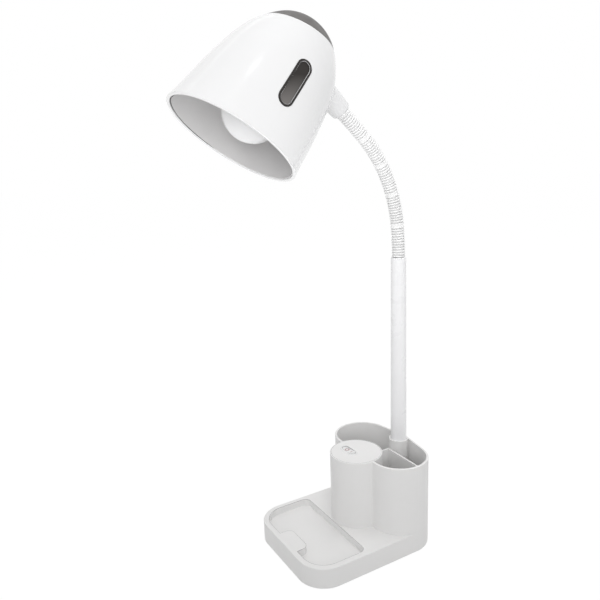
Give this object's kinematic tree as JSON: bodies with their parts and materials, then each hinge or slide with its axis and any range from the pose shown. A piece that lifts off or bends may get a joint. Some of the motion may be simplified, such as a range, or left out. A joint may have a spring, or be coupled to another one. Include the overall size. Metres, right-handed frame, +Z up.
{
  "type": "desk lamp with organiser base",
  "caption": "White desk lamp with a bell shade on a bendable neck and pole, standing on an organiser base with a sunk tray, open pen cups and a rocker switch.",
  "frame": {"origin": "middle of the base's underside, on the surface the lamp stands on", "axes": "+Z up, +X to the user's right, +Y away from the user; the tray is at the front (-Y), the pole at the back (+Y)"},
  "size_m": [0.1229, 0.2342, 0.509],
  "materials": {
    "base_plastic": "white moulded plastic with a fine matt texture",
    "switch_white": "smooth white plastic",
    "terminal_white": "natural white plastic",
    "pole_white": "satin white paint",
    "hose_white": "satin white coating over close ribs",
    "shade_white": "glossy white",
    "liner_grey": "satin grey inside the shade",
    "dark_grey": "dark grey, half gloss",
    "holder_black": "black heat-proof plastic",
    "bulb_opal": "opal diffuser",
    "bulb_white": "white plastic",
    "cap_metal": "bright rolled metal",
    "steel": "zinc-plated",
    "ballast_steel": "plain steel",
    "brass": "plain brass",
    "rubber": "matt rubber",
    "lead_sleeve": "insulated lead"
  },
  "bodies": {
    "base": {"base_shell": "base_plastic", "bottom_cover": "base_plastic", "cover_screws": "steel", "rubber_feet": "rubber", "ballast_plate": "ballast_steel", "switch_housing": "switch_white", "switch_pin": "steel", "switch_blades": "brass", "terminal_block": "terminal_white", "terminal_screws": "brass", "cord_inlet_grommet": "rubber", "pole_leads": "lead_sleeve", "switch_leads": "lead_sleeve", "pole_tube": "pole_white", "pole_anchor": "steel", "pole_nut": "steel"},
    "rocker": {"switch_rocker": "switch_white"},
    "neck_1": {"neck_hose_1": "hose_white"},
    "neck_2": {"neck_hose_2": "hose_white"},
    "neck_3": {"neck_hose_3": "hose_white"},
    "neck_4": {"neck_hose_4": "hose_white"},
    "neck_5": {"neck_hose_5": "hose_white"},
    "head": {"neck_collar": "shade_white", "collar_nipple": "steel", "collar_saddle": "base_plastic", "collar_nut": "steel", "holder_bracket": "ballast_steel", "shade_shell": "shade_white", "shade_cap": "dark_grey", "shade_liner": "liner_grey", "vent_frames": "dark_grey", "vent_panels": "dark_grey", "lampholder_body": "holder_black", "lampholder_ring": "holder_black", "lampholder_contact": "brass", "bulb_globe": "bulb_opal", "bulb_body": "bulb_white", "bulb_screw_cap": "cap_metal", "bulb_contact_tip": "brass"}
  },
  "joints": [
    {"name": "rocker_tilt", "type": "hinge", "parent": "base", "child": "rocker", "pos_m": [-0.005, 0.0075, 0.0919], "axis": [0, 1, 0], "range_deg": [0, 10]},
    {"name": "neck_turn", "type": "hinge", "parent": "base", "child": "neck_1", "pos_m": [0, 0.069, 0.2904], "axis": [0, 0, 1], "range_deg": [-60, 60]},
    {"name": "neck_bend_1", "type": "hinge", "parent": "neck_1", "child": "neck_2", "pos_m": [0, 0.06732, 0.32265], "axis": [1, 0, 0], "range_deg": [-12, 12]},
    {"name": "neck_bend_2", "type": "hinge", "parent": "neck_2", "child": "neck_3", "pos_m": [0, 0.06063, 0.35379], "axis": [1, 0, 0], "range_deg": [-12, 12]},
    {"name": "neck_bend_3", "type": "hinge", "parent": "neck_3", "child": "neck_4", "pos_m": [0, 0.04723, 0.38267], "axis": [1, 0, 0], "range_deg": [-12, 12]},
    {"name": "neck_bend_4", "type": "hinge", "parent": "neck_4", "child": "neck_5", "pos_m": [0, 0.02746, 0.40762], "axis": [1, 0, 0], "range_deg": [-12, 12]},
    {"name": "neck_bend_5", "type": "hinge", "parent": "neck_5", "child": "head", "pos_m": [0, 0.00416, 0.42942], "axis": [1, 0, 0], "range_deg": [-12, 12]}
  ]
}
